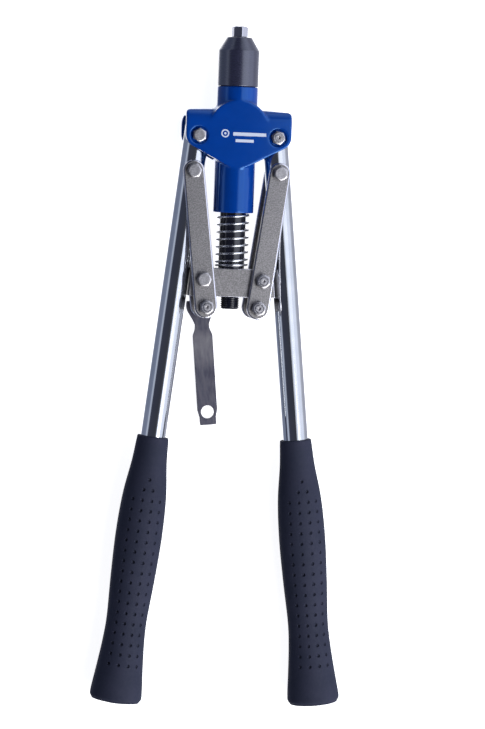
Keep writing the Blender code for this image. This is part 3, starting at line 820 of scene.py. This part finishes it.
def grip_side():
    """(distance from the mouth, radius) down the outside of a grip, as a smooth curve."""
    points = [(1.0, 12.15), (20, 13.5), (46, 16.75), (76, 17.85), (109, 17.0), (141, 15.5), (160, 16.15),
              (180, 17.95), (194, 19.45), (201, 19.95), (GRIP_LENGTH - 3.4, 18.8)]
    return smooth_curve(points, 8)


def grip_radius(distance):
    side = grip_side()
    for (a, first), (b, second) in zip(side, side[1:]):
        if a <= distance <= b:
            return first + (second - first) * (distance - a) / (b - a)
    return side[-1][1]


def dimple_cutter(first):
    """Small balls on the grip's front and back: one, then two, then rows of four."""
    pair = (-12.5, 12.5)
    four = (-38, *pair, 38)
    proud = 0.1
    bm = bmesh.new()
    for row in range(DIMPLE_ROWS):
        t = first + row * DIMPLE_STEP
        angles = {0: (0,), 1: pair}.get(row, four)
        radius = grip_radius(t) + proud
        for face in (90, 270):
            for angle in angles:
                around = math.radians(face + angle)
                place = Vector((radius * math.cos(around), radius * math.sin(around), GRIP_START + t)) * MM
                bmesh.ops.create_icosphere(bm, subdivisions=2, radius=DIMPLE_R * MM,
                                           matrix=Matrix.Translation(place))
    return bm


def make_handle(side, name):
    """Built along Z from the ear pivot, then turned down the handle."""
    at = (side * EAR.x, EAR.y, MID_Z)
    turn = (math.pi / 2, 0, side * HANDLE_LEAN)
    end = GRIP_START + GRIP_LENGTH - BUTT_WALL
    inner = TUBE_R - TUBE_WALL
    lip = 0.4
    profile = rounded([(TUBE_R, -TUBE_ABOVE, lip), (TUBE_R, end, 0), (inner, end, 0),
                       (inner, -TUBE_ABOVE, lip)], hold=HOLD)
    tube = raw_object(f"tube_{name}", stack(profile, loop=True), at, turn)
    through = TUBE_R + PAST
    for distance, radius in ((0, HOLE_R), (CRANK, OPEN_PIVOT_R)):
        drill = stack([(radius, -through), (radius, through)], SMALL_STEPS)
        down = Matrix.Rotation(side * HANDLE_LEAN, 3, "Z") @ Vector((0, -distance, 0))
        tube = boolean(tube, raw_object("drill", drill, Vector(at) + down))
    dress(tube, f"handle_tube_{name}")

    mouth, lip_end, dome_r = TUBE_R + GAP, 3, 16.0
    bore_end = GRIP_LENGTH - BUTT_WALL + GAP
    outside = rounded([(mouth, 0, 0.8), (12.0, 0, 1.0), (12.2, lip_end, 0)], closed=False)
    outside += [(r, t) for t, r in grip_side() if t > lip_end]
    outside += [(18.8, GRIP_LENGTH - 3.4), (18.3, GRIP_LENGTH - 2.3), (16.9, GRIP_LENGTH - 2.05)]
    outside += arc(0, GRIP_LENGTH - BUTT_R, BUTT_R, math.degrees(math.acos(dome_r / BUTT_R)), 90, 10)[:-1]
    profile = [(0, bore_end), (mouth, bore_end)] + outside + [(0, GRIP_LENGTH)]
    grip = raw_object(f"grip_{name}", stack([(r, GRIP_START + t) for r, t in profile]), at, turn)
    grip = boolean(grip, raw_object("dimples", dimple_cutter(DIMPLE_FIRST[name]), at, turn))
    dress(grip, f"handle_grip_{name}", sharp=40)


# ---------------------------------------------------------------- draw rod

def make_yoke():
    """A flat block with rounded edges, bored for the draw rod and drilled for the two link bolts."""
    top_x, foot_x, bore, corner, edge = 31.3, 33.4, 7.5, 0.8, 0.5
    outline = rounded([(-foot_x, YOKE_FOOT, corner), (foot_x, YOKE_FOOT, corner), (top_x, YOKE_TOP, corner),
                       (-top_x, YOKE_TOP, corner)], 3)
    holes = [ring(side * YOKE_PIN.x, YOKE_PIN.y, HOLE_R, HOLE_STEPS) for side in (-1, 1)]
    yoke = plate("yoke_block", [outline] + holes, -YOKE_HALF, YOKE_HALF, edge, (0, 0, MID_Z))
    yoke = boolean(yoke, on_axis("bore", [(bore, YOKE_FOOT - PAST), (bore, YOKE_TOP + PAST)], 64))
    dress(yoke, "yoke", sharp=10)
    painted_rim_highlights(yoke)


def make_rod():
    """A hollow polished rod with a fine thread on the end that goes through the yoke."""
    thread_r, pitch, depth, slices = 7.2, 1.6, 0.9, 8
    groove = 0.6  # the share of a pitch that the groove takes
    chamfer, lead = 0.6, 1.2  # at the thread's end, where it also tapers in
    rod_r, spigot_r, bore, pocket_r = 10.0, 7.4, 3.5, 5.6
    step, shoulder = YOKE_TOP + GAP, ROD_TOP - 11.0
    levels = [(bore + chamfer, ROD_FOOT), (thread_r - 1.0, ROD_FOOT)]
    for i in range(round((step - ROD_FOOT - lead) / pitch * slices)):
        y = ROD_FOOT + chamfer + i * pitch / slices
        taper = min(1.0, (y - ROD_FOOT) / lead)

        def ridge(angle, y=y, taper=taper):
            phase = (y / pitch + angle / (2 * math.pi)) % 1.0
            cut = max(0.0, 1 - abs(2 * phase - 1) / groove)
            return thread_r - chamfer * (1 - taper) - depth * taper * cut

        levels.append((ridge, y))
    levels += [(thread_r, step), (rod_r, step), (rod_r, shoulder), (spigot_r, shoulder),
               (spigot_r, ROD_TOP), (pocket_r, ROD_TOP), (pocket_r, POCKET_FLOOR), (bore, POCKET_FLOOR),
               (bore, ROD_FOOT + chamfer)]
    dress(on_axis("rod_polished", levels, loop=True), "draw_rod", sharp=40)


# ---------------------------------------------------------------- links and spanner

def make_links():
    """Front and back plates with rounded edges and a spacer sleeve between them at the lower bolt."""
    edge, corner, hole_corner = 1.2, 0.3, 0.2
    outline = arc(0, LINK_UP, LINK_TOP_R, 0, 180, HOLE_STEPS)
    outline += arc(0, -LINK_DOWN, LINK_FOOT_R, 180, 360, HOLE_STEPS)
    holes = [ring(0, y, HOLE_R, HOLE_STEPS) for y in (LINK_UP, 0, -LINK_DOWN)]
    for name, side in (("left", -1), ("right", 1)):
        at = (side * YOKE_PIN.x, YOKE_PIN.y, MID_Z)
        turn = (0, 0, -side * LINK_LEAN)
        for label, floor, roof in (("front", LINK_INNER, LINK_OUTER), ("back", -LINK_OUTER, -LINK_INNER)):
            bar = plate(f"link_bar_{label}_{name}", [outline] + holes, floor, roof, edge, at, turn)
            dress(bar, f"link_{label}_{name}", sharp=10)
            painted_rim_highlights(bar)
        half = LINK_INNER - GAP
        profile = rounded([(SPACER_R, -half, corner), (SPACER_R, half, corner), (HOLE_R, half, hole_corner),
                           (HOLE_R, -half, hole_corner)])
        sleeve = raw_object(f"link_sleeve_{name}", stack(profile, SMALL_STEPS, loop=True),
                            (side * -LOWER_PIN.x, LOWER_PIN.y, MID_Z))
        dress(sleeve, f"link_spacer_{name}")


def spanner_outline():
    """Seen from the front, with its jaws towards +Y and the bolt that it grips at the origin."""
    head_r, slot, slot_floor, tip = 11.2, 5.55, -6.6, 4.0
    neck, blade, tongue = 5.4, 7.65, 6.3
    right = rounded([(0, SPANNER_END, 0), (tongue, SPANNER_END, 0.6), (tongue, SPANNER_END + 6.0, 1.5),
                     (blade, SPANNER_HOLE + 1.5, 3.0), (blade, -23.0, 3.0), (neck + 0.4, -18.4, 3.0),
                     (neck - 0.1, -15.0, 4.0), (neck + 1.6, -10.6, 4.0), (head_r * 0.85, -head_r * 0.53, 0)],
                    closed=False)[1:]
    right += arc(0, 0, head_r, -30, math.degrees(math.asin(tip / head_r)), 16)
    right += rounded([(slot + 2, tip, 0), (slot, tip, 0.5), (slot, -3.4, 0.5), (0, slot_floor, 0)],
                     closed=False)[1:-1]
    return right + [(0, slot_floor)] + mirror(right)


def make_spanner():
    hole = ring(0, SPANNER_HOLE, SPANNER_HOLE_R, SMALL_STEPS)
    blade = plate("spanner_blade", [spanner_outline(), hole], SPANNER_LOW, SPANNER_HIGH, 0.35,
                  (LOWER_PIN.x, LOWER_PIN.y, MID_Z), (0, 0, SPANNER_LEAN))
    dress(blade, "spanner", sharp=10)


def make_jaw_spring():
    """Pushes the jaws forward from its pocket in the draw rod."""
    radius, thick, turns, phase = 4.4, 0.5, 5.5, 0.25
    pocket, pusher = POCKET_FLOOR, low("jaw_pusher").y
    bottom, top = pocket + thick + GAP, pusher - thick - GAP

    def height(turn):
        return top - (top - bottom) * turn / turns

    spring = wire("jaw_coil", radius, thick, height, turns, phase, 32, 8)
    dress(spring, "jaw_spring", sharp=0)
    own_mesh(spring)


def dress_inner_pieces():
    """The jaws and what holds them stay as the frame has them, inside the head."""
    for node in ("jaw_case", "jaw_1", "jaw_2", "jaw_3", "jaw_pusher"):
        obj = frame["nodes"][node]
        obj.data.materials.clear()
        obj.data.materials.append(FINISHES[SLOT_OF[node]])


# ---------------------------------------------------------------- studio

def backdrop_finish(name, colour, glow):
    return Finish(name, colour, 0.7, Specular_IOR_Level=0.0, Emission_Color=(1, 1, 1, 1),
                  Emission_Strength=glow).material


def seen_only(obj):
    """The camera sees it, but it neither shades nor lights the tool and isn't mirrored in it."""
    obj.visible_diffuse = False
    obj.visible_glossy = False
    obj.visible_transmission = False
    obj.visible_shadow = False


def make_floor():
    """A pale floor, lit from within so that shadows on it are faint, and a white dome round it."""
    reach = 20.0
    bm = bmesh.new()
    bmesh.ops.create_circle(bm, cap_ends=True, segments=64, radius=reach)
    floor = raw_object("floor", bm)
    floor.data.materials.append(backdrop_finish("floor", (0.85, 0.86, 0.88), 0.9))
    seen_only(floor)
    bm = bmesh.new()
    bmesh.ops.create_uvsphere(bm, u_segments=64, v_segments=32, radius=reach)
    dome = raw_object("dome", bm)
    dome.data.materials.append(backdrop_finish("dome", (0, 0, 0), 1.0))
    seen_only(dome)


def area_light(name, at, aim, width, height, power, colour):
    light = bpy.data.lights.new(name, "AREA")
    light.shape = "RECTANGLE"
    light.size, light.size_y = width, height
    light.energy = power
    light.color = colour
    made = bpy.data.objects.new(name, light)
    bpy.context.scene.collection.objects.link(made)
    made.location = at
    made.rotation_euler = (Vector(aim) - Vector(at)).to_track_quat("-Z", "Y").to_euler()
    made.visible_camera = False


def make_world():
    """What stands round the tool, by the angle in degrees from overhead towards its right.

    It is dark overhead, white below, bright on the right and dim on the left but for one bright strip.
    """
    world = bpy.data.worlds.new("studio")
    bpy.context.scene.world = world
    world.use_nodes = True
    tree = world.node_tree
    where = tree.nodes.new("ShaderNodeTexCoord").outputs["Generated"]
    split = tree.nodes.new("ShaderNodeSeparateXYZ")
    tree.links.new(where, split.inputs["Vector"])
    angle = tree.nodes.new("ShaderNodeMath")
    angle.operation = "ARCTAN2"
    tree.links.new(split.outputs["X"], angle.inputs[0])
    tree.links.new(split.outputs["Z"], angle.inputs[1])
    share = tree.nodes.new("ShaderNodeMapRange")
    share.inputs["From Min"].default_value = -math.pi
    share.inputs["From Max"].default_value = math.pi
    tree.links.new(angle.outputs["Value"], share.inputs["Value"])
    ramp = tree.nodes.new("ShaderNodeValToRGB")
    tree.links.new(share.outputs["Result"], ramp.inputs["Fac"])
    below = (1.75, 1.75, 1.8)
    stops = [(-180, below), (-162, below), (-148, (0.28, 0.31, 0.42)), (-110, (0.24, 0.28, 0.39)),
             (-84, (0.28, 0.32, 0.45)), (-76, (0.66, 0.72, 0.86)), (-68, (0.58, 0.64, 0.78)),
             (-60, (0.06, 0.066, 0.1)), (0, (0.055, 0.06, 0.08)), (14, (0.11, 0.115, 0.13)),
             (20, (0.72, 0.77, 0.9)), (46, (0.75, 0.8, 0.93)), (54, (1.15, 1.22, 1.42)),
             (80, (1.1, 1.17, 1.36)), (92, (0.58, 0.6, 0.7)), (125, (0.53, 0.55, 0.64)),
             (150, (0.7, 0.71, 0.78)), (166, below), (180, below)]
    elements = ramp.color_ramp.elements
    while len(elements) < len(stops):
        elements.new(0.5)
    for element, (degrees, colour) in zip(elements, stops):
        element.position = (degrees + 180) / 360
        element.color = (*colour, 1)
    tree.links.new(ramp.outputs["Color"], tree.nodes["Background"].inputs["Color"])


def make_camera():
    """A long lens, a little to the tool's left and level with its head, rolled so that it leans right."""
    distance, side, rise, roll = 2.4, math.radians(9.2), math.radians(3.4), math.radians(2.2)
    aim = Vector((11.8, 2.6, MID_Z)) * MM
    view_height = 0.5585
    back = Vector((-math.sin(side) * math.cos(rise), math.sin(rise), math.cos(side) * math.cos(rise)))
    up = Vector((-math.sin(roll), math.cos(roll), 0))
    right = up.cross(back).normalized()
    up = back.cross(right)
    data = bpy.data.cameras.new("camera")
    data.sensor_width = 36.0
    data.lens = data.sensor_width * distance / view_height
    data.clip_end = 100
    camera = bpy.data.objects.new("camera", data)
    bpy.context.scene.collection.objects.link(camera)
    turn = Matrix((right, up, back)).transposed().to_4x4()
    camera.matrix_world = Matrix.Translation(aim + back * distance) @ turn
    bpy.context.scene.camera = camera


def make_studio():
    make_floor()
    make_world()
    area_light("key", at=(0.75, -0.75, 1.1), aim=(0, 0, 0), width=1.1, height=1.1, power=17,
               colour=(1.0, 0.99, 0.96))
    area_light("softbox", at=(0.352, 0.1, 0.5), aim=(0.352, 0.1, 0), width=0.5, height=0.9, power=1.1,
               colour=(0.86, 0.9, 1.0))
    make_camera()
    bpy.context.scene.view_settings.view_transform = "Standard"


# ---------------------------------------------------------------- the tool

make_casting()
make_sleeve()
make_nosepiece()
make_return_spring()
make_print()
make_fasteners()
for side, name in ((-1, "left"), (1, "right")):
    make_handle(side, name)
make_yoke()
make_rod()
make_links()
make_spanner()
make_jaw_spring()
dress_inner_pieces()
make_studio()
